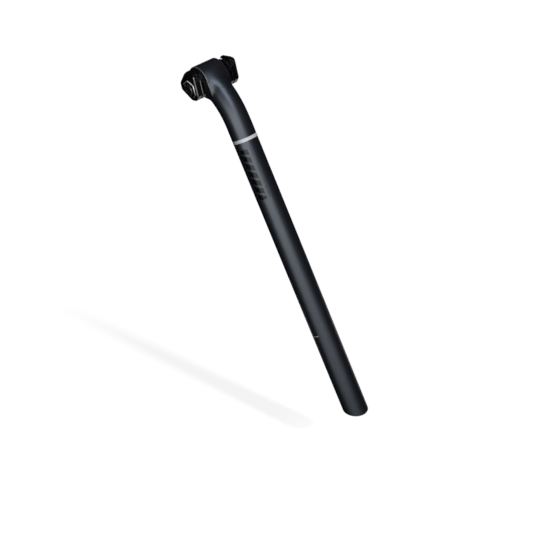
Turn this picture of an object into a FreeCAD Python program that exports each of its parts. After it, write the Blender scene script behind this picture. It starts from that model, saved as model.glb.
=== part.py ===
"""Set-back bicycle seatpost with a single cross-bolt clamp for two saddle rails.

Millimetres. Z runs up the shaft, X to the front of the bicycle, Y to its left.
The origin is on the shaft's axis at the least insertion depth.
"""
import FreeCAD, Part
import math
import os
import re

import Sketcher
from FreeCAD import Vector

SIZES = {
    "post_radius": 13.6,
    "post_wall": 2.3,
    "insertion": 100.0,
    "clamp_height": 300.0,
    "setback": 20.0,
    "end_cut": 26.0,
    "neck_angle": 35.0,
    "bend_radius": 82.0,
    "neck_lead": 15.0,
    "neck_top_radius": 15.0,
    "neck_blend": 9.0,
    "head_radius": 17.0,
    "head_rise": 3.0,
    "head_half_width": 14.0,
    "head_edge": 0.7,
    "bore_radius": 10.0,
    "spigot_length": 7.0,
    "spigot_clearance": 0.05,
    "clamp_tilt": 16.5,
    "rail_radius": 3.5,
    "rail_clearance": 0.05,
    "rail_offset": 22.0,
    "rail_height": 12.5,
    "clamp_front": 13.5,
    "clamp_rear": 14.2,
    "clamp_bottom": 12.0,
    "corner_front_top": 4.5,
    "corner_front_low": 6.0,
    "corner_rear_top": 13.0,
    "corner_rear_low": 10.5,
    "corner_rear_run": 14.7,
    "corner_round": 4.0,
    "jaw_wall": 2.8,
    "crown_rise": 0.6,
    "jaw_gap": 0.6,
    "jaw_lip": 0.5,
    "jaw_edge": 1.0,
    "boss_radius": 8.6,
    "boss_depth": 2.2,
    "boss_clearance": 0.6,
    "seat_floor": 3.0,
    "pad_height": 0.8,
    "pad_shift": 1.2,
    "pad_half_width": 9.0,
    "pad_peak": 10.8,
    "pad_eave": 5.8,
    "pad_rear_low": 2.6,
    "pad_front_low": 4.4,
    "pad_bottom": 8.4,
    "pad_foot_front": 4.6,
    "pad_foot_rear": 2.0,
    "pad_bevel": 0.6,
    "cradle_boss_radius": 12.5,
    "cradle_standoff": 2.2,
    "cradle_top": 17.0,
    "cradle_shelf": 15.2,
    "cradle_back": 2.0,
    "cradle_edge": 0.6,
    "window_depth": 4.0,
    "window_height": 12.0,
    "window_border": 1.0,
    "bolt_radius": 4.0,
    "bolt_clearance": 0.4,
    "bolt_head_radius": 6.5,
    "bolt_head_height": 5.7,
    "bolt_head_clearance": 0.5,
    "socket_flats": 6.0,
    "socket_depth": 4.5,
    "bolt_end_inset": 0.6,
    "washer_thickness": 0.8,
    "thread_clearance": 0.05,
    "nut_flats": 12.0,
    "nut_clearance": 0.1,
    "nut_flange": 4.2,
    "sleeve_radius": 5.4,
    "sleeve_length": 8.8,
    "small_edge": 0.6,
}

doc = FreeCAD.newDocument("seatpost")
sheet = doc.addObject("Spreadsheet::Sheet", "Sizes")
for row, (alias, size) in enumerate(SIZES.items(), start=1):
    sheet.set(f"A{row}", alias)
    sheet.set(f"B{row}", str(size))
    sheet.setAlias(f"B{row}", alias)
doc.recompute()

# Path of the neck: a bend backwards, then a straight run to the middle of the barrel.
HEAD_HEIGHT = "(clamp_height + head_rise)"
NECK_RUN = "((setback - bend_radius * (1 - cos(neck_angle))) / sin(neck_angle))"
BEND_START = f"({HEAD_HEIGHT} - bend_radius * sin(neck_angle) - {NECK_RUN} * cos(neck_angle))"
BEND_SHARES = (0.0, 1 / 3, 2 / 3, 1.0)
FLARE_SHARES = (0.0, 0.05, 0.25, 0.6)
HOLLOW_RADIUS = "(post_radius - post_wall)"

# Two places nearer than this are the same place.
TOUCH = 0.01

# Faces of the clamp, counted outwards from the middle plane.
CRADLE_INNER = "(head_half_width + cradle_standoff)"
CRADLE_OUTER = "(rail_offset - jaw_gap)"
GROOVE_RADIUS = "(rail_radius + rail_clearance)"
JAW_INNER = "(rail_offset + jaw_gap)"
JAW_LIP = "(rail_offset - jaw_lip)"
JAW_OUTER = "(rail_offset + rail_radius + jaw_wall)"
CROWN = "(rail_height + crown_rise)"
JAW_TOP = f"({CROWN} + rail_radius + jaw_wall)"
PAD_OUTER = f"({JAW_OUTER} + pad_height)"
BOSS_INNER = "(rail_offset + jaw_gap - boss_depth)"
SEAT = f"({BOSS_INNER} + seat_floor)"
BOLT_SEAT = f"({SEAT} + washer_thickness)"
NUT_OUTER = f"({SEAT} + nut_flange)"
BOLT_END = f"({NUT_OUTER} - bolt_end_inset)"
THROUGH = "(4 * (clamp_front + clamp_rear))"
BOLT_HOLE = {"right": "(bolt_radius + bolt_clearance)", "left": "(sleeve_radius + bolt_clearance)"}


def sized(formula):
    """Turns a formula in the names of sizes into an expression on the sheet."""
    return re.sub(r"[a-z_]+", lambda word: f"Sizes.{word[0]}" if word[0] in SIZES else word[0], str(formula))


def value(formula):
    return float(sheet.evalExpression(sized(formula)))


def new_body(label):
    body = doc.addObject("PartDesign::Body", label)
    body.Label = label
    return body


def clamp_body(label):
    """A body in the clamp's own frame: X along the rails, the origin on the bolt's axis."""
    body = new_body(label)
    body.Placement.Rotation = FreeCAD.Rotation(Vector(0, 1, 0), value("clamp_tilt"))
    body.setExpression("Placement.Base.x", sized("-setback"))
    body.setExpression("Placement.Base.z", sized("clamp_height"))
    body.setExpression("Placement.Rotation.Angle", sized("clamp_tilt"))
    return body


def new_sketch(body, name, role, shift="0"):
    """A sketch on one of the body's own origin planes, moved along the plane's normal."""
    sketch = body.newObject("Sketcher::SketchObject", name)
    plane = next(feature for feature in body.Origin.OriginFeatures if feature.Role == role)
    sketch.AttachmentSupport = [(plane, "")]
    sketch.MapMode = "FlatFace"
    sketch.setExpression("AttachmentOffset.Base.z", sized(shift))
    return sketch


def fix_point(sketch, geometry, point, place):
    """Ties one point of a sketch to two formulas, counted from the sketch's origin."""
    for kind, formula in zip(("DistanceX", "DistanceY"), place):
        constraint = Sketcher.Constraint(kind, -1, 1, geometry, point, value(formula))
        sketch.setExpression(f"Constraints[{sketch.addConstraint(constraint)}]", sized(formula))


def add_circle(sketch, place, radius):
    centre = Vector(value(place[0]), value(place[1]), 0)
    circle = sketch.addGeometry(Part.Circle(centre, Vector(0, 0, 1), value(radius)), False)
    fix_point(sketch, circle, 3, place)
    index = sketch.addConstraint(Sketcher.Constraint("Radius", circle, value(radius)))
    sketch.setExpression(f"Constraints[{index}]", sized(radius))
    return sketch


def add_polygon(sketch, corners):
    points = [Vector(value(across), value(up), 0) for across, up in corners]
    ends = points[1:] + points[:1]
    lines = [sketch.addGeometry(Part.LineSegment(*pair), False) for pair in zip(points, ends)]
    for line, following in zip(lines, lines[1:] + lines[:1]):
        sketch.addConstraint(Sketcher.Constraint("Coincident", line, 2, following, 1))
    for line, corner in zip(lines, corners):
        fix_point(sketch, line, 1, corner)
    return sketch


def add_rectangle(sketch, left, bottom, right, top):
    return add_polygon(sketch, [(left, bottom), (right, bottom), (right, top), (left, top)])


def add_hexagon(sketch, flats):
    corner_radius = f"({flats}) / sqrt(3)"
    return add_polygon(sketch, [(f"{corner_radius} * cos({turn})", f"{corner_radius} * sin({turn})")
                                for turn in range(0, 360, 60)])


def add_crown(sketch, across):
    """The waste above the jaw's crown: a quarter arc over the rail and the corner beyond it."""
    left = across == ""
    arc_spans = (0, 90) if left else (90, 180)
    outer, inner = (1, 2) if left else (2, 1)
    corners = [(f"{across}{JAW_OUTER}", CROWN), (f"{across}rail_offset", JAW_TOP),
               (f"{across}rail_offset", f"2 * {JAW_TOP}"), (f"{across}2 * {JAW_OUTER}", f"2 * {JAW_TOP}"),
               (f"{across}2 * {JAW_OUTER}", CROWN)]
    points = [Vector(value(along), value(up), 0) for along, up in corners]
    circle = Part.Circle(Vector(points[1].x, points[0].y, 0), Vector(0, 0, 1), points[1].y - points[0].y)
    arc = sketch.addGeometry(Part.ArcOfCircle(circle, *(math.radians(turn) for turn in arc_spans)), False)
    spans = zip(points[1:], points[2:] + points[:1])
    lines = [sketch.addGeometry(Part.LineSegment(*pair), False) for pair in spans]
    for line, following in zip(lines, lines[1:]):
        sketch.addConstraint(Sketcher.Constraint("Coincident", line, 2, following, 1))
    sketch.addConstraint(Sketcher.Constraint("Coincident", arc, inner, lines[0], 1))
    sketch.addConstraint(Sketcher.Constraint("Coincident", lines[-1], 2, arc, outer))
    fix_point(sketch, arc, outer, corners[0])
    for line, corner in zip(lines, corners[1:]):
        fix_point(sketch, line, 1, corner)
    index = sketch.addConstraint(Sketcher.Constraint("DistanceX", -1, 1, arc, 3, points[1].x))
    sketch.setExpression(f"Constraints[{index}]", sized(corners[1][0]))
    return sketch


def extrude(kind, sketch, length, reverse=False, both=False):
    """Pads or pockets a sketch, and checks that a pocket has removed material."""
    body = sketch.getParentGeoFeatureGroup()
    before = body.Shape.Volume if body.Shape and not body.Shape.isNull() else 0.0
    feature = body.newObject(f"PartDesign::{kind}", f"{sketch.Name}_{kind}")
    feature.Profile = sketch
    feature.setExpression("Length", sized(length))
    feature.SideType = "Symmetric" if both else "One side"
    feature.Reversed = reverse
    doc.recompute()
    if kind == "Pocket" and body.Shape.Volume >= before:
        raise RuntimeError(f"{feature.Name} cuts nothing")


def round_edges(body, name, radius, chosen, kind="Fillet"):
    """Rounds or bevels the edges of a body that the test picks."""
    base = body.Tip
    names = [f"Edge{number}" for number, edge in enumerate(base.Shape.Edges, start=1) if chosen(edge)]
    feature = body.newObject(f"PartDesign::{kind}", name)
    feature.Base = (base, names)
    feature.setExpression("Radius" if kind == "Fillet" else "Size", sized(radius))
    doc.recompute()


def lies_at(edge, axis, place):
    """True for an edge that lies in the plane across the axis at the place."""
    box = edge.BoundBox
    low, high = getattr(box, f"{axis}Min"), getattr(box, f"{axis}Max")
    return abs(low - place) < TOUCH and abs(high - place) < TOUCH


def runs_across(edge):
    """True for a straight edge along Y."""
    box = edge.BoundBox
    return box.XLength < TOUCH and box.ZLength < TOUCH


def on_barrel(edge):
    """True for a curved edge on the barrel's round face, away from its flat ends."""
    axis = Vector(value("-setback"), 0, value(HEAD_HEIGHT))
    spots = [edge.valueAt(place) for place in edge.ParameterRange]
    spots.append(edge.valueAt(sum(edge.ParameterRange) / 2))
    radii = [(spot - axis - Vector(0, spot.y, 0)).Length for spot in spots]
    round_face = all(abs(radius - value("head_radius")) < TOUCH for radius in radii)
    return round_face and not isinstance(edge.Curve, (Part.Circle, Part.Line))


def section_sketch(body, name, x, z, turn, radius):
    """A round section of the neck, square to its path."""
    sketch = new_sketch(body, name, "XY_Plane")
    sketch.AttachmentOffset.Rotation = FreeCAD.Rotation(Vector(0, -1, 0), value("neck_angle"))
    sketch.setExpression("AttachmentOffset.Base.x", sized(x))
    sketch.setExpression("AttachmentOffset.Base.z", sized(z))
    sketch.setExpression("AttachmentOffset.Rotation.Angle", sized(turn))
    return add_circle(sketch, ("0", "0"), radius)


def neck_sections(body):
    """Sections from the straight shaft round the bend, each a little wider than the last."""
    sections = [section_sketch(body, "neck_lead", "0", f"{BEND_START} - neck_lead", "0", "post_radius")]
    for number, (bend, flare) in enumerate(zip(BEND_SHARES, FLARE_SHARES)):
        turn = f"(neck_angle * {bend})"
        sections.append(section_sketch(
            body, f"neck_bend_{number}", f"-bend_radius * (1 - cos({turn}))",
            f"{BEND_START} + bend_radius * sin({turn})", turn,
            f"post_radius + (neck_top_radius - post_radius) * {flare}"))
    sections.append(section_sketch(
        body, "neck_top", "-setback", HEAD_HEIGHT, "neck_angle", "neck_top_radius"))
    return sections


def build_post():
    """One hollow moulding: slant-cut shaft, set-back neck and cross-wise barrel head."""
    body = new_body("post")
    shaft = add_circle(new_sketch(body, "shaft", "XY_Plane", "-insertion"), ("0", "0"), "post_radius")
    extrude("Pad", shaft, f"insertion + {BEND_START} - neck_lead")

    first, *others = neck_sections(body)
    neck = body.newObject("PartDesign::AdditiveLoft", "neck")
    neck.Profile = first
    neck.Sections = others
    doc.recompute()

    # The barrel is blended into the neck over its long blank, and then cut to its width.
    blank = "(head_half_width + neck_top_radius + neck_blend)"
    barrel = add_circle(new_sketch(body, "barrel", "XZ_Plane"), ("-setback", HEAD_HEIGHT), "head_radius")
    extrude("Pad", barrel, f"2 * {blank}", both=True)
    round_edges(body, "neck_root", "neck_blend", on_barrel)
    reach = "(2 * head_radius + neck_blend)"
    for side, sign in (("right", ""), ("left", "-")):
        flank = new_sketch(body, f"{side}_flank", "XZ_Plane", f"{sign}{blank}")
        add_rectangle(flank, f"-setback - {reach}", f"clamp_height - {reach}",
                      f"-setback + {reach}", f"clamp_height + {reach}")
        extrude("Pocket", flank, f"{blank} - head_half_width", reverse=side == "left")
        rim = value("head_half_width") * (1 if side == "left" else -1)
        round_edges(body, f"{side}_rim", "head_edge", lambda edge: lies_at(edge, "Y", rim), "Chamfer")

    hollow = add_circle(new_sketch(body, "hollow", "XY_Plane", "-insertion"), ("0", "0"), HOLLOW_RADIUS)
    extrude("Pocket", hollow, f"insertion + {BEND_START}", reverse=True)
    bend = new_sketch(body, "bend_hollow", "XY_Plane", BEND_START)
    bend.setExpression("AttachmentOffset.Base.x", sized("-bend_radius"))
    turned = body.newObject("PartDesign::Groove", "bend_hollow_groove")
    turned.Profile = add_circle(bend, ("bend_radius", "0"), HOLLOW_RADIUS)
    turned.ReferenceAxis = (bend, ["V_Axis"])
    turned.setExpression("Angle", sized("neck_angle"))
    turned.Reversed = True
    doc.recompute()

    slant = new_sketch(body, "slant", "XZ_Plane")
    rear_rise = "(4 * post_radius * tan(end_cut))"
    add_polygon(slant, [("post_radius", "-insertion"), ("-3 * post_radius", f"-insertion + {rear_rise}"),
                        ("-3 * post_radius", "-insertion - post_radius"),
                        ("post_radius", "-insertion - post_radius")])
    extrude("Pocket", slant, "4 * post_radius", both=True)

    bore = add_circle(new_sketch(body, "cross_bore", "XZ_Plane"), ("-setback", "clamp_height"), "bore_radius")
    extrude("Pocket", bore, "4 * head_half_width", both=True)
    return body


def outline(bottom, top):
    """Side view of a clamp piece: a box with its four corners cut off."""
    rear, front = "-clamp_rear", "clamp_front"
    return [(f"{front} - corner_front_top", top), (front, f"{top} - corner_front_top"),
            (front, f"{bottom} + corner_front_low"), (f"{front} - corner_front_low", bottom),
            (f"{rear} + corner_rear_run", bottom), (rear, f"{bottom} + corner_rear_low"),
            (rear, f"{top} - corner_rear_top"), (f"{rear} + corner_rear_top", top)]


def add_hole(body, name, radius):
    hole = add_circle(new_sketch(body, f"{body.Name}_{name}", "XZ_Plane"), ("0", "0"), radius)
    extrude("Pocket", hole, THROUGH, both=True)


def add_groove(body, sign):
    groove = add_circle(new_sketch(body, f"{body.Name}_groove", "YZ_Plane"),
                        (f"{sign} rail_offset", "rail_height"), GROOVE_RADIUS)
    extrude("Pocket", groove, THROUGH, both=True)


def build_cradle(side):
    """Inner half of one rail clamp, turning in the head's bore on a spigot."""
    left = side == "left"
    out, across = ("-", "") if left else ("", "-")
    body = clamp_body(f"cradle_{side}")

    def slab(name, inner, outer, sketcher):
        sketch = new_sketch(body, f"{body.Name}_{name}", "XZ_Plane", f"{out}{inner}")
        extrude("Pad", sketcher(sketch), f"{outer} - {inner}", reverse=left)

    slab("block", CRADLE_INNER, CRADLE_OUTER,
         lambda sketch: add_polygon(sketch, outline("-clamp_bottom", "cradle_top")))
    round_edges(body, f"{body.Name}_corners", "corner_round", runs_across)
    face = value(CRADLE_OUTER) * (1 if left else -1)
    round_edges(body, f"{body.Name}_edge", "cradle_edge", lambda edge: lies_at(edge, "Y", face), "Chamfer")
    step = new_sketch(body, f"{body.Name}_step", "YZ_Plane")
    add_rectangle(step, f"{across}({CRADLE_INNER} + cradle_back)", "cradle_shelf",
                  f"{across}2 * {CRADLE_OUTER}", "2 * cradle_top")
    extrude("Pocket", step, THROUGH, both=True)
    add_groove(body, across)
    slab("boss", "head_half_width", CRADLE_INNER,
         lambda sketch: add_circle(sketch, ("0", "0"), "cradle_boss_radius"))
    slab("spigot", "(head_half_width - spigot_length)", "head_half_width",
         lambda sketch: add_circle(sketch, ("0", "0"), "bore_radius - spigot_clearance"))

    pocket = new_sketch(body, f"{body.Name}_pocket", "XZ_Plane", f"{out}{CRADLE_OUTER}")
    add_circle(pocket, ("0", "0"), "boss_radius + boss_clearance")
    extrude("Pocket", pocket, f"{CRADLE_OUTER} - {BOSS_INNER} + boss_clearance", reverse=left)
    add_hole(body, "hole", BOLT_HOLE[side])

    for end, place, backwards in (("front", "clamp_front", False), ("rear", "-clamp_rear", True)):
        window = new_sketch(body, f"{body.Name}_{end}_window", "YZ_Plane", place)
        inner = f"{across}({CRADLE_INNER} + window_border)"
        outer = f"{across}({CRADLE_OUTER} - window_border)"
        add_rectangle(window, inner, "-window_height / 2", outer, "window_height / 2")
        extrude("Pocket", window, "window_depth", reverse=backwards)
    return body


def build_jaw(side):
    """Outer half of one rail clamp: an arch round the rail over a plate with the bolt's seat."""
    left = side == "left"
    out, across = ("-", "") if left else ("", "-")
    body = clamp_body(f"jaw_{side}")

    plate = new_sketch(body, f"{body.Name}_plate", "XZ_Plane", f"{out}{JAW_LIP}")
    add_polygon(plate, outline("-clamp_bottom", JAW_TOP))
    extrude("Pad", plate, f"{JAW_OUTER} - {JAW_LIP}", reverse=left)
    round_edges(body, f"{body.Name}_corners", "corner_round", runs_across)
    face = value(JAW_OUTER) * (1 if left else -1)
    round_edges(body, f"{body.Name}_rim", "jaw_edge", lambda edge: lies_at(edge, "Y", face), "Chamfer")

    inside = new_sketch(body, f"{body.Name}_inside", "YZ_Plane")
    add_rectangle(inside, "0", "-2 * clamp_bottom", f"{across}{JAW_INNER}", "rail_height")
    extrude("Pocket", inside, THROUGH, both=True)
    crown = new_sketch(body, f"{body.Name}_crown", "YZ_Plane")
    extrude("Pocket", add_crown(crown, across), THROUGH, both=True)
    add_groove(body, across)

    boss = new_sketch(body, f"{body.Name}_boss", "XZ_Plane", f"{out}{BOSS_INNER}")
    extrude("Pad", add_circle(boss, ("0", "0"), "boss_radius"), "boss_depth", reverse=left)

    pad = new_sketch(body, f"{body.Name}_pad", "XZ_Plane", f"{out}{JAW_OUTER}")
    rear, front = "pad_shift - pad_half_width", "pad_shift + pad_half_width"
    add_polygon(pad, [(rear, "-pad_rear_low"), (rear, "pad_eave"), ("pad_shift", "pad_peak"),
                      (front, "pad_eave"), (front, "-pad_front_low"),
                      ("pad_shift + pad_foot_front", "-pad_bottom"),
                      ("pad_shift - pad_foot_rear", "-pad_bottom")])
    extrude("Pad", pad, "pad_height", reverse=left)
    top = value(PAD_OUTER) * (1 if left else -1)
    round_edges(body, f"{body.Name}_pad_bevel", "pad_bevel", lambda edge: lies_at(edge, "Y", top), "Chamfer")

    seat = new_sketch(body, f"{body.Name}_seat", "XZ_Plane", f"{out}{PAD_OUTER}")
    if left:
        add_hexagon(seat, "nut_flats + 2 * nut_clearance")
    else:
        add_circle(seat, ("0", "0"), "bolt_head_radius + bolt_head_clearance")
    extrude("Pocket", seat, f"{PAD_OUTER} - {SEAT}", reverse=left)
    add_hole(body, "hole", BOLT_HOLE[side])
    return body


def build_bolt():
    """Socket-head bolt through the whole clamp, its head on the right."""
    body = clamp_body("cross_bolt")
    shank = add_circle(new_sketch(body, "shank", "XZ_Plane", f"-{BOLT_END}"), ("0", "0"), "bolt_radius")
    extrude("Pad", shank, f"{BOLT_END} + {BOLT_SEAT}")
    head = add_circle(new_sketch(body, "bolt_head", "XZ_Plane", BOLT_SEAT), ("0", "0"), "bolt_head_radius")
    extrude("Pad", head, "bolt_head_height")
    round_edges(body, "bolt_head_edge", "small_edge",
                lambda edge: lies_at(edge, "Y", -value(f"{BOLT_SEAT} + bolt_head_height")), "Chamfer")
    socket = new_sketch(body, "socket", "XZ_Plane", f"{BOLT_SEAT} + bolt_head_height")
    extrude("Pocket", add_hexagon(socket, "socket_flats"), "socket_depth")
    round_edges(body, "bolt_point", "small_edge", lambda edge: lies_at(edge, "Y", value(BOLT_END)), "Chamfer")
    return body


def build_washer():
    body = clamp_body("bolt_washer")
    ring = new_sketch(body, "ring", "XZ_Plane", SEAT)
    add_circle(ring, ("0", "0"), "bolt_head_radius")
    add_circle(ring, ("0", "0"), BOLT_HOLE["right"])
    extrude("Pad", ring, "washer_thickness")
    return body


def build_nut():
    """Sleeve nut whose hexagon is held from turning in the left jaw."""
    body = clamp_body("sleeve_nut")
    flange = new_sketch(body, "flange", "XZ_Plane", f"-{SEAT}")
    extrude("Pad", add_hexagon(flange, "nut_flats"), "nut_flange", reverse=True)
    sleeve = add_circle(new_sketch(body, "sleeve", "XZ_Plane", f"-{SEAT}"), ("0", "0"), "sleeve_radius")
    extrude("Pad", sleeve, "sleeve_length")
    add_hole(body, "thread", "bolt_radius + thread_clearance")
    return body


bodies = [build_post(), build_bolt(), build_washer(), build_nut()]
for side in ("right", "left"):
    bodies.append(build_cradle(side))
    bodies.append(build_jaw(side))
doc.recompute()

for item in doc.Objects:
    if {"Invalid", "Error"} & set(item.State):
        raise RuntimeError(f"{item.Name} failed: {item.State}")
for body in bodies:
    if body.Shape.isNull() or not body.Shape.isValid() or len(body.Shape.Solids) != 1:
        raise RuntimeError(f"{body.Label} is not one valid solid")

os.makedirs("parts", exist_ok=True)
for body in bodies:
    body.Shape.exportStep(f"parts/{body.Label}.step")
    print(body.Label, round(body.Shape.Volume), "mm3")
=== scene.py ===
"""Looks of the set-back bicycle seatpost: finishes, plain printed marks, studio and camera.

Metres, in the part's own frame: Z runs up the shaft, X to the front of the bicycle, Y to its left.
"""

import math

import bpy
from mathutils import Matrix, Vector

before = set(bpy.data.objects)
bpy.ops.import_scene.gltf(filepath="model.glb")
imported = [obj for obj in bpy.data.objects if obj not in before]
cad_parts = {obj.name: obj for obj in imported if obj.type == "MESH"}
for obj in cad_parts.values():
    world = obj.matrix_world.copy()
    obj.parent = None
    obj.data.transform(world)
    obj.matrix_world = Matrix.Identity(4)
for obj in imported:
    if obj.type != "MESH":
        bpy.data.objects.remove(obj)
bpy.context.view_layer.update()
scene = bpy.context.scene

# Sizes of the solids that the finishes follow.
SHAFT_RADIUS, SKIN_DEPTH = 0.0136, 0.0008
BOLT_PLACE = (-0.020, 0.300)
HEAD = Vector((-0.020, 0.0, 0.303))
HEAD_RADIUS, HEAD_RIM = 0.017, 0.0132
# Where across the head the painted highlight along its rim lies.
RIM_HIGHLIGHT = (0.01332, 0.01398)
NECK_RADIUS, NECK_LEAN = 0.015, math.radians(35.0)
CLAMP_TILT = math.radians(16.5)
RAIL_PLACE, GROOVE_LIMIT = (0.022, 0.0125), 0.0037
PAD_EDGE, JAW_EDGE, CRADLE_EDGE = (0.02845, 0.02905), (0.02735, 0.02825), (0.02085, 0.02135)
FRONT_EDGE = 0.0124
THREAD_PITCH, THREAD_START, THREAD_RING = 0.00125, 0.006, (0.0036, 0.0042)

# The lacquer's shading eases the neck into the head: over which width, where along the neck it begins
# and ends, and how near to the axes the surface counts as the inside of a hollow or bore.
EASE = 0.016
EASE_START, EASE_END = (-0.034, -0.014), (-0.006, 0.004)
HOLLOW_LIMIT = 0.0128

# Painted highlights on the clamp's edges, standing in for the light they catch: how bright the pad's edges
# are from its foot to its top, and those at the front.
PAD_HIGHLIGHT, PAD_HIGHLIGHT_GAIN, PAD_RISE = 0.25, 0.7, (-0.003, 0.003)
FRONT_HIGHLIGHT = 0.16

# Printed marks: heights up the shaft, and places round it in degrees from the line facing the camera.
BAND_HEIGHT, BAND_WIDTH = 0.2313, 0.0036
TICK_HEIGHT, TICK_WIDTH, TICK_SPAN = 0.0027, 0.0007, (-72.0, -36.0)
BAR_HEIGHTS, BAR_SPAN = (0.165, 0.222), (-50.0, -10.0)
BAR_PITCH, BAR_SLANT, BAR_GAP = 0.0088, 0.5, 0.3
STRIPE_WIDTH, STRIPE_TURNS = 2.4, (-63.0, 6.0)
INK_COVER = 0.9

# Camera of the photograph: turn from the front, height and roll in degrees, lens and sensor in millimetres,
# the rest in metres.
CAMERA_TURN = 30.8
CAMERA_HEIGHT = 12.921
CAMERA_ROLL = -22.583
CAMERA_DISTANCE = 1.30843
CAMERA_SHIFT = (0.026294, 0.016817)
CAMERA_TARGET = Vector((0.0, 0.0, 0.1))
CAMERA_LENS, CAMERA_SENSOR = 82.021, 36.0

# Light: the share of the white world that falls on the object, and the sun that throws its shadow.
FILL = 0.18
MIDDLE = Vector((0.0, 0.0, 0.12))
KEY_TURN, KEY_HEIGHT, KEY_DISTANCE, KEY_ANGLE = 18.3, 16.76, 2.0, math.radians(1.6)
KEY_STRENGTH = 2.9

# The floor takes the shadow between these distances from the foot of the shaft, and fades to white
# outside them.
FLOOR_LEVEL, FLOOR_SIZE = -0.1605, 30.0
FLOOR_SHADE, FLOOR_LIFT, FLOOR_WHITE = 0.42, 0.825, 1.008
NEAR_FADE, FAR_FADE = (0.02, 0.36), (0.80, 1.90)

# Black cards. Standing ones: turn from the camera, distance, width and lower edge.
# Lying ones: turn from the camera, distance, step aside, length and width.
# The one above the front: height in degrees, distance and size.
CARD_TOP, CARD_LEVEL = 2.07, -0.149
STANDING_CARDS = {"right": (96.0, 0.42, 1.5, -0.13), "left": (-112.0, 0.46, 1.3, -0.13),
                  "rear": (180.0, 0.5, 1.4, 0.19)}
LYING_CARDS = {"right": (43.0, 0.35, 0.22, 0.7, 0.44), "left": (-66.0, 0.35, -0.22, 0.7, 0.44),
               "front": (-8.0, 0.09, 0.0, 0.13, 0.4)}
TOP_CARD_HEIGHT, TOP_CARD_DISTANCE, TOP_CARD_SIZE = 48.0, 0.9, (1.6, 0.75)


class Wire:
    """An output socket that takes part in sums: every operator adds one Math node."""

    def __init__(self, board, socket):
        self.board = board
        self.socket = socket

    def math(self, operation, *values):
        return self.board.node("ShaderNodeMath", {"operation": operation}, dict(enumerate(values)))

    def __add__(self, other):
        return self.math("ADD", self, other)

    def __sub__(self, other):
        return self.math("SUBTRACT", self, other)

    def __rsub__(self, other):
        return self.math("SUBTRACT", other, self)

    def __mul__(self, other):
        return self.math("MULTIPLY", self, other)

    def __truediv__(self, other):
        return self.math("DIVIDE", self, other)

    def __pow__(self, other):
        return self.math("POWER", self, other)

    def __gt__(self, other):
        return self.math("GREATER_THAN", self, other)

    def __lt__(self, other):
        return self.math("LESS_THAN", self, other)

    def __or__(self, other):
        return self.math("MAXIMUM", self, other)

    def __abs__(self):
        return self.math("ABSOLUTE", self)

    def between(self, low, high):
        return (self > low) * (self < high)

    def near(self, middle, width):
        return self.between(middle - width / 2, middle + width / 2)

    def fraction(self):
        return self.math("FRACT", self)

    def ramp(self, low, high):
        """Smoothly from 0 at the low value to 1 at the high one."""
        return self.board.node("ShaderNodeMapRange", {"interpolation_type": "SMOOTHSTEP"},
                               {"Value": self, "From Min": low, "From Max": high})

    __radd__ = __add__
    __rmul__ = __mul__


class Board:
    """The nodes of one material or of the world."""

    def __init__(self, owner):
        owner.use_nodes = True
        self.tree = owner.node_tree

    def plug(self, value, socket):
        if isinstance(value, Wire):
            self.tree.links.new(value.socket, socket)
        else:
            socket.default_value = value

    def feed(self, made, sockets):
        for name, value in sockets.items():
            self.plug(value, made.inputs[name.replace("_", " ") if isinstance(name, str) else name])

    def node(self, kind, settings=None, inputs=None, output=0):
        made = self.tree.nodes.new(kind)
        for name, value in (settings or {}).items():
            setattr(made, name, value)
        self.feed(made, inputs or {})
        return Wire(self, made.outputs[output])

    def place(self):
        """The point's own X, Y and Z in metres."""
        spot = self.node("ShaderNodeTexCoord", output="Object")
        return [self.node("ShaderNodeSeparateXYZ", inputs={"Vector": spot}, output=axis) for axis in "XYZ"]

    def grain(self, scale, stretch=(1.0, 1.0, 1.0), detail=2.0):
        """Noise from 0 to 1 with the given grains to the metre."""
        spot = self.node("ShaderNodeTexCoord", output="Object")
        stretched = self.node("ShaderNodeMapping", inputs={"Vector": spot, "Scale": stretch})
        return self.node("ShaderNodeTexNoise", inputs={
            "Vector": stretched, "Scale": scale, "Detail": detail})

    def mix(self, factor, first, second):
        return self.node("ShaderNodeMix", {"data_type": "RGBA"}, {0: factor, 6: first, 7: second}, output=2)

    def bump(self, height, strength, distance, **more):
        return self.node("ShaderNodeBump", inputs={
            "Height": height, "Strength": strength, "Distance": distance, **more})

    def seen(self):
        """1 for the rays of the camera, reflections and glass, 0 for the light that falls on the object."""
        kinds = ("Is Camera Ray", "Is Glossy Ray", "Is Transmission Ray")
        camera, glossy, glass = (self.node("ShaderNodeLightPath", output=kind) for kind in kinds)
        return camera | glossy | glass

    def surface(self, wire):
        self.plug(wire, self.tree.nodes["Material Output"].inputs["Surface"])


class Finish(Board):
    """A material on one Principled shader, on which other paints may be laid."""

    def __init__(self, name, **sockets):
        self.material = bpy.data.materials.new(name)
        super().__init__(self.material)
        self.shader = self.tree.nodes["Principled BSDF"]
        self.top = Wire(self, self.shader.outputs[0])
        self.paint(**sockets)

    def paint(self, **sockets):
        self.feed(self.shader, sockets)

    def lay(self, mask, **sockets):
        """Covers the places under the mask with another paint."""
        cover = self.node("ShaderNodeBsdfPrincipled", inputs=sockets)
        self.top = self.node("ShaderNodeMixShader", inputs={0: mask, 1: self.top, 2: cover})
        self.surface(self.top)


def colour(red, green, blue):
    return (red, green, blue, 1.0)


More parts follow.
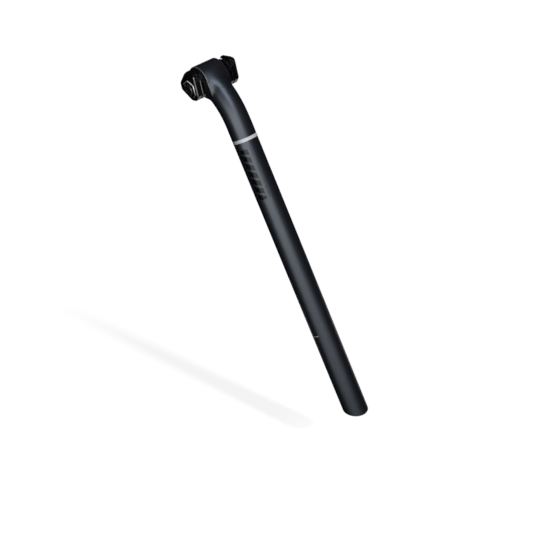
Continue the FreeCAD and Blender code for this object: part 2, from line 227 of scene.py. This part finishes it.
def eased_normal(finish, x, y, z):
    """Directions of a surface whose neck eases gradually into the cross-wise head."""
    ahead, above = x - HEAD.x, z - HEAD.z
    front = ahead * math.cos(NECK_LEAN) + above * math.sin(NECK_LEAN)
    along = above * math.cos(NECK_LEAN) - ahead * math.sin(NECK_LEAN)
    rise = along | 0.0
    neck = (front ** 2 + y ** 2 + rise ** 2) ** 0.5
    barrel = (front ** 2 + along ** 2) ** 0.5
    share = ((neck - NECK_RADIUS) - (barrel - HEAD_RADIUS)).ramp(-EASE, EASE)
    from_neck, from_barrel = (1.0 - share) / neck, share / barrel
    out = front * (from_neck + from_barrel)
    lift = rise * from_neck + along * from_barrel
    eased = finish.node("ShaderNodeCombineXYZ", inputs={
        "X": out * math.cos(NECK_LEAN) - lift * math.sin(NECK_LEAN), "Y": y * from_neck,
        "Z": out * math.sin(NECK_LEAN) + lift * math.cos(NECK_LEAN)})
    turned = finish.node("ShaderNodeVectorTransform", {"vector_type": "NORMAL", "convert_from": "OBJECT",
                                                       "convert_to": "WORLD"}, {"Vector": eased})
    near = along.ramp(*EASE_START) * (1.0 - along.ramp(*EASE_END)) * y.between(-HEAD_RIM, HEAD_RIM)
    skin = near * (neck > HOLLOW_LIMIT) * (barrel > HOLLOW_LIMIT)
    plain = finish.node("ShaderNodeNewGeometry", output="Normal")
    mixed = finish.node("ShaderNodeMix", {"data_type": "VECTOR"}, {0: skin, 4: plain, 5: turned}, output=1)
    return finish.node("ShaderNodeVectorMath", {"operation": "NORMALIZE"}, {0: mixed})


def carbon_finish():
    """Satin lacquer over carbon fibre that runs along the shaft, with plain printed marks."""
    finish = Finish("satin_carbon", Specular_IOR_Level=0.5, Specular_Tint=colour(0.80, 0.875, 1.0))
    x, y, z = finish.place()
    fibre = finish.grain(1.0, (1600.0, 1600.0, 26.0))
    cloud = finish.grain(34.0)
    peel = finish.grain(900.0, detail=1.0)
    dents = finish.bump(peel * 0.4 + fibre * 0.6, 0.12, 0.0001, Normal=eased_normal(finish, x, y, z))
    finish.paint(Base_Color=finish.mix(fibre * 0.6 + cloud * 0.4, colour(0.0050, 0.0058, 0.0082),
                                       colour(0.0084, 0.0096, 0.0130)),
                 Roughness=0.33 + cloud * 0.05 + fibre * 0.05, Normal=dents)

    turn = math.radians(CAMERA_TURN)
    aside = x * math.sin(turn) + y * math.cos(turn)
    facing = x * math.cos(turn) - y * math.sin(turn)
    round_shaft = aside.math("ARCTAN2", aside, facing) * math.degrees(1.0)
    outside = (x * x + y * y) > (SHAFT_RADIUS - SKIN_DEPTH) ** 2
    band = z.near(BAND_HEIGHT, BAND_WIDTH)
    tick = z.near(TICK_HEIGHT, TICK_WIDTH) * round_shaft.between(*TICK_SPAN)
    slots = (z / BAR_PITCH + round_shaft * (BAR_SLANT / (BAR_SPAN[1] - BAR_SPAN[0]))).fraction() > BAR_GAP
    bar = z.between(*BAR_HEIGHTS) * round_shaft.between(*BAR_SPAN) * slots
    for stripe in STRIPE_TURNS:
        bar = bar | z.between(*BAR_HEIGHTS) * round_shaft.near(stripe, STRIPE_WIDTH)
    finish.lay(bar * outside, Base_Color=colour(0.004, 0.004, 0.005), Roughness=0.2, Specular_IOR_Level=0.12)
    finish.lay((band | tick) * outside * INK_COVER, Base_Color=colour(0.60, 0.62, 0.65), Roughness=0.5,
               Normal=dents)
    # Painted highlight: a pale line along the edge of the head's rim, standing in for the light caught
    # there.
    rim_highlight = abs(y).between(*RIM_HIGHLIGHT) * (z > HEAD.z - HEAD_RADIUS)
    finish.lay(rim_highlight, Base_Color=colour(0.085, 0.088, 0.095), Roughness=0.45)
    return finish.material


def anodised_finish(name, shade, roughness):
    """Black anodised aluminium, fine blasted, with painted highlights on the pad's and front edges and a
    bare groove for the rail.
    """
    finish = Finish(name, Specular_IOR_Level=0.28)
    grain = finish.grain(2600.0, detail=3.0)
    blotch = finish.grain(120.0)
    dark, light = (colour(*[share * part for part in shade]) for share in (0.75, 1.25))
    finish.paint(Base_Color=finish.mix(blotch, dark, light), Metallic=blotch * 0.05,
                 Roughness=roughness + grain * 0.08, Normal=finish.bump(grain, 0.15, 0.00005))
    x, y, z = finish.place()
    side = abs(y)
    ahead, up = x - BOLT_PLACE[0], z - BOLT_PLACE[1]
    above = up * math.cos(CLAMP_TILT) + ahead * math.sin(CLAMP_TILT)
    forward = ahead * math.cos(CLAMP_TILT) - up * math.sin(CLAMP_TILT)
    groove = (side - RAIL_PLACE[0]) ** 2 + (above - RAIL_PLACE[1]) ** 2 < GROOVE_LIMIT ** 2
    finish.lay(groove, Base_Color=colour(0.35, 0.35, 0.36), Metallic=1.0, Roughness=0.28 + grain * 0.1)
    # Painted highlights: pale paint on the pad's edges, lighter towards its top, and on the front edges of
    # jaw and cradle.
    front = (forward > FRONT_EDGE) * (side.between(*JAW_EDGE) | side.between(*CRADLE_EDGE))
    edge_highlight = side.between(*PAD_EDGE) * (PAD_HIGHLIGHT + above.ramp(*PAD_RISE) * PAD_HIGHLIGHT_GAIN)
    finish.lay(edge_highlight | front * FRONT_HIGHLIGHT, Base_Color=colour(0.75, 0.75, 0.77), Metallic=0.2,
               Roughness=0.3 + grain * 0.1)
    return finish.material


def bolt_finish():
    """Black-oxide steel with faint turning marks round the bolt's axis and a thread on its far half."""
    finish = Finish("black_oxide_steel", Specular_IOR_Level=0.5)
    x, y, z = finish.place()
    across, up = x - BOLT_PLACE[0], z - BOLT_PLACE[1]
    ring = (across ** 2 + up ** 2) ** 0.5
    turning = finish.node("ShaderNodeTexNoise", {"noise_dimensions": "1D"},
                          {"W": ring * 9000.0, "Scale": 1.0, "Detail": 2.0})
    oxide = finish.grain(500.0)
    helix = (y / THREAD_PITCH + across.math("ARCTAN2", across, up) / math.tau).fraction()
    thread = abs(helix - 0.5) * (y > THREAD_START) * ring.between(*THREAD_RING)
    finish.paint(Base_Color=finish.mix(oxide, colour(0.030, 0.030, 0.033), colour(0.060, 0.060, 0.064)),
                 Metallic=0.7 + oxide * 0.1, Roughness=0.28 + turning * 0.12,
                 Normal=finish.bump(turning * 0.02 + thread, 0.6, 0.0007))
    return finish.material


def dress(material, *nodes):
    for name in nodes:
        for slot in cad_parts[name].material_slots:
            slot.material = material


def camera_axes():
    """Right, up and back of the camera, with its roll."""
    turn, height, roll = (math.radians(angle) for angle in (CAMERA_TURN, CAMERA_HEIGHT, CAMERA_ROLL))
    back = Vector((math.cos(turn) * math.cos(height), -math.sin(turn) * math.cos(height), math.sin(height)))
    level = Vector((math.sin(turn), math.cos(turn), 0.0))
    upright = back.cross(level)
    right = math.cos(roll) * level + math.sin(roll) * upright
    up = math.cos(roll) * upright - math.sin(roll) * level
    return right, up, back


def add_camera():
    right, up, back = camera_axes()
    data = bpy.data.cameras.new("photo_camera")
    data.lens = CAMERA_LENS
    data.sensor_width = CAMERA_SENSOR
    camera = bpy.data.objects.new("photo_camera", data)
    camera.matrix_world = Matrix((right, up, back)).transposed().to_4x4()
    camera.matrix_world.translation = (CAMERA_TARGET + back * CAMERA_DISTANCE
                                       - right * CAMERA_SHIFT[0] - up * CAMERA_SHIFT[1])
    scene.collection.objects.link(camera)
    scene.camera = camera


def from_camera(turn, height, distance, target):
    """A place round the target, its turn counted to the right from the camera's own direction."""
    angle = math.radians(CAMERA_TURN - turn)
    lift = math.radians(height)
    level = Vector((math.cos(angle), -math.sin(angle), 0.0))
    return target + distance * (level * math.cos(lift) + Vector((0.0, 0.0, math.sin(lift))))


def add_lamp(name, kind, turn, height, distance, target, energy, **settings):
    data = bpy.data.lights.new(name, kind)
    data.energy = energy
    for setting, value in settings.items():
        setattr(data, setting, value)
    lamp = bpy.data.objects.new(name, data)
    lamp.location = from_camera(turn, height, distance, target)
    lamp.rotation_euler = (target - lamp.location).to_track_quat("-Z", "Y").to_euler()
    scene.collection.objects.link(lamp)
    return lamp


def add_softbox(name, turn, height, distance, target, size, watts, shade=(1.0, 1.0, 1.0)):
    """A lamp whose only trace is its reflection."""
    softbox = add_lamp(name, "AREA", turn, height, distance, target, watts,
                       shape="RECTANGLE", size=size[0], size_y=size[1], color=shade)
    softbox.visible_diffuse = False


def add_world():
    """White for the camera and for reflections, a dimmer fill for the rest."""
    world = bpy.data.worlds.new("studio")
    board = Board(world)
    scene.world = world
    board.feed(board.tree.nodes["Background"], {
        "Color": colour(1.0, 1.0, 1.0), "Strength": FILL + board.seen() * (1.0 - FILL)})


def add_panel(name, place, turn, size, material):
    bpy.ops.object.select_all(action="DESELECT")
    bpy.ops.mesh.primitive_plane_add(size=1.0, location=place, rotation=turn)
    panel = bpy.context.object
    panel.name = name
    panel.scale = (size[0], size[1], 1.0)
    panel.data.materials.append(material)
    return panel


def add_flag(name, place, turn, size, black):
    """A black card that only reflections see."""
    flag = add_panel(name, place, turn, size, black)
    flag.visible_camera = False
    flag.visible_diffuse = False
    flag.visible_shadow = False


def facing(place, target):
    return (target - place).to_track_quat("Z", "Y").to_euler()


def floor_material():
    """Floor that is white to the camera and takes the object's shadow, which fades out towards its ends."""
    material = bpy.data.materials.new("pale_floor")
    board = Board(material)
    x, y, _ = board.place()
    away = math.radians(CAMERA_TURN - KEY_TURN)
    along = (y * math.sin(away) - x * math.cos(away)) * FLOOR_SIZE
    share = along.ramp(*NEAR_FADE) * (1.0 - along.ramp(*FAR_FADE))
    seen = board.seen()
    matt = board.node("ShaderNodeBsdfDiffuse", inputs={"Color": colour(*[FLOOR_SHADE] * 3)})
    lift = board.node("ShaderNodeEmission", inputs={"Strength": seen * FLOOR_LIFT})
    shaded = board.node("ShaderNodeAddShader", inputs={0: matt, 1: lift})
    white = board.node("ShaderNodeEmission", inputs={"Strength": seen * FLOOR_WHITE})
    board.surface(board.node("ShaderNodeMixShader", inputs={0: share, 1: white, 2: shaded}))
    return material


def add_cards():
    """Black cards that stand round the object, lie on the floor and hang above the front."""
    black = Finish("black_card", Base_Color=colour(0.0, 0.0, 0.0), Specular_IOR_Level=0.0).material
    for side, (turn, distance, width, low) in STANDING_CARDS.items():
        centre = Vector((0.0, 0.0, (low + CARD_TOP) / 2))
        place = from_camera(turn, 0.0, distance, centre)
        add_flag(f"{side}_flag", place, facing(place, centre), (width, CARD_TOP - low), black)
    for side, (turn, distance, aside, length, width) in LYING_CARDS.items():
        place = from_camera(turn, 0.0, distance, Vector((0.0, 0.0, CARD_LEVEL)))
        place = from_camera(turn + 90.0, 0.0, aside, place)
        lying = (0.0, 0.0, math.radians(turn - CAMERA_TURN))
        add_flag(f"{side}_floor_card", place, lying, (length, width), black)
    place = from_camera(0.0, TOP_CARD_HEIGHT, TOP_CARD_DISTANCE, HEAD)
    add_flag("top_flag", place, facing(place, HEAD), TOP_CARD_SIZE, black)


def add_studio():
    """Floor, black cards, two softboxes that only reflections see, and the key that throws the shadow."""
    level = Vector((0.0, 0.0, FLOOR_LEVEL))
    add_panel("floor", level, (0.0, 0.0, 0.0), (FLOOR_SIZE, FLOOR_SIZE), floor_material())
    add_cards()
    add_softbox("front_softbox", turn=-16.0, height=1.0, distance=1.6, target=MIDDLE,
                size=(2.25, 0.8), watts=35.0)
    add_softbox("head_softbox", turn=18.0, height=33.0, distance=0.5, target=HEAD,
                size=(0.18, 0.36), watts=2.2, shade=(0.82, 0.91, 1.0))
    key = add_lamp("key", "SUN", KEY_TURN, KEY_HEIGHT, KEY_DISTANCE, MIDDLE, KEY_STRENGTH, angle=KEY_ANGLE)
    key.visible_glossy = False


dress(carbon_finish(), "post")
dress(anodised_finish("anodised_cradle", (0.003, 0.003, 0.0035), 0.34), "cradle_right", "cradle_left")
dress(anodised_finish("anodised_jaw", (0.003, 0.003, 0.0033), 0.26), "jaw_right", "jaw_left")
dress(bolt_finish(), "cross_bolt", "bolt_washer", "sleeve_nut")
add_camera()
add_world()
add_studio()

scene.view_settings.view_transform = "Standard"
